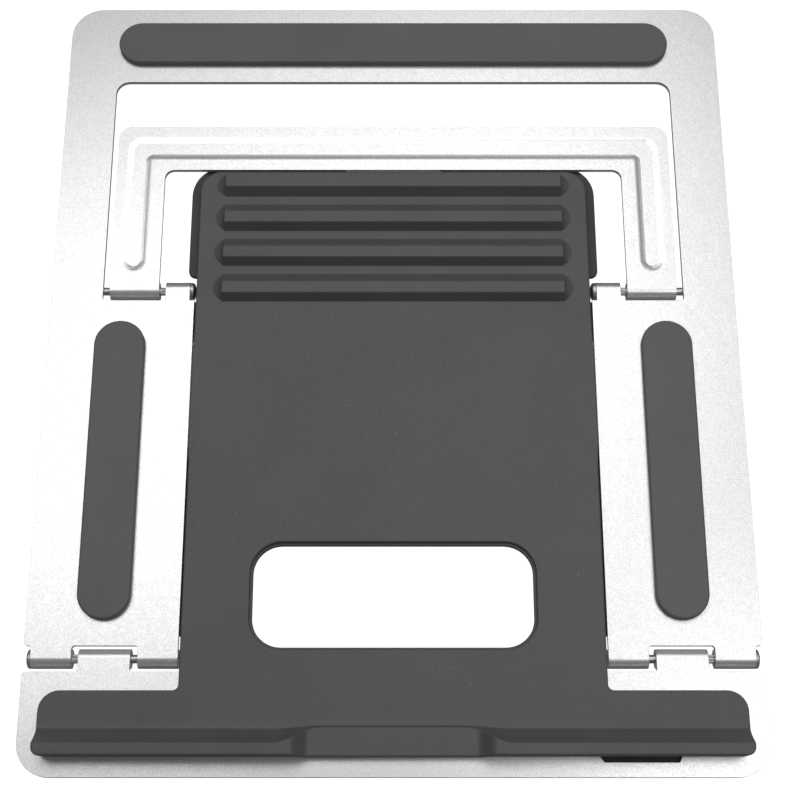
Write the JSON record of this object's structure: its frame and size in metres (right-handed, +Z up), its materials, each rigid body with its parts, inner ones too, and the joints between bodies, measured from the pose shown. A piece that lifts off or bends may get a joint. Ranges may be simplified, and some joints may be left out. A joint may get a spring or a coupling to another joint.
{
  "type": "laptop stand",
  "caption": "Folding laptop stand lying flat: rubber-covered base tongue with ridges and a front lip, hinged tray frame with rubber pads, and a U-shaped leg frame that props the tray up.",
  "frame": {"origin": "middle of the footprint, on the desk surface under the feet", "axes": "+Z up; +Y from the front lip towards the tray's rear rail; +X to the right as seen from the front"},
  "size_m": [0.25, 0.293, 0.0178],
  "materials": {
    "frame_metal": "bead-blasted and clear anodised, fine grain",
    "mat_rubber": "matte moulded rubber, dark grey",
    "pad_rubber": "matte moulded rubber, dark grey",
    "foot_rubber": "matte moulded rubber, nearly black",
    "pin_steel": "plain drawn steel"
  },
  "bodies": {
    "base": {"base_plate": "frame_metal", "base_mat": "mat_rubber", "front_sole": "foot_rubber", "rear_foot": "foot_rubber", "front_foot_left": "foot_rubber", "front_foot_right": "foot_rubber"},
    "tray": {"tray_frame": "frame_metal", "rear_pad": "pad_rubber", "side_pad_left": "pad_rubber", "side_pad_right": "pad_rubber", "front_hinge_pin_left": "pin_steel", "front_hinge_pin_right": "pin_steel", "rear_hinge_pin_left": "pin_steel", "rear_hinge_pin_right": "pin_steel", "rear_pin_saddle_left": "pin_steel", "rear_pin_saddle_right": "pin_steel"},
    "leg": {"leg_frame": "frame_metal"}
  },
  "joints": [
    {"name": "tray_hinge", "type": "hinge", "parent": "base", "child": "tray", "pos_m": [0, -0.1071, 0.0047], "axis": [1, 0, 0], "range_deg": [0, 30]},
    {"name": "leg_hinge", "type": "hinge", "parent": "tray", "child": "leg", "pos_m": [0, 0.0281, 0.0047], "axis": [-1, 0, 0], "range_deg": [0, 82.5]}
  ],
  "couplings": [
    {"joint": "leg_hinge", "follows": "tray_hinge", "ratio": 2.75}
  ]
}
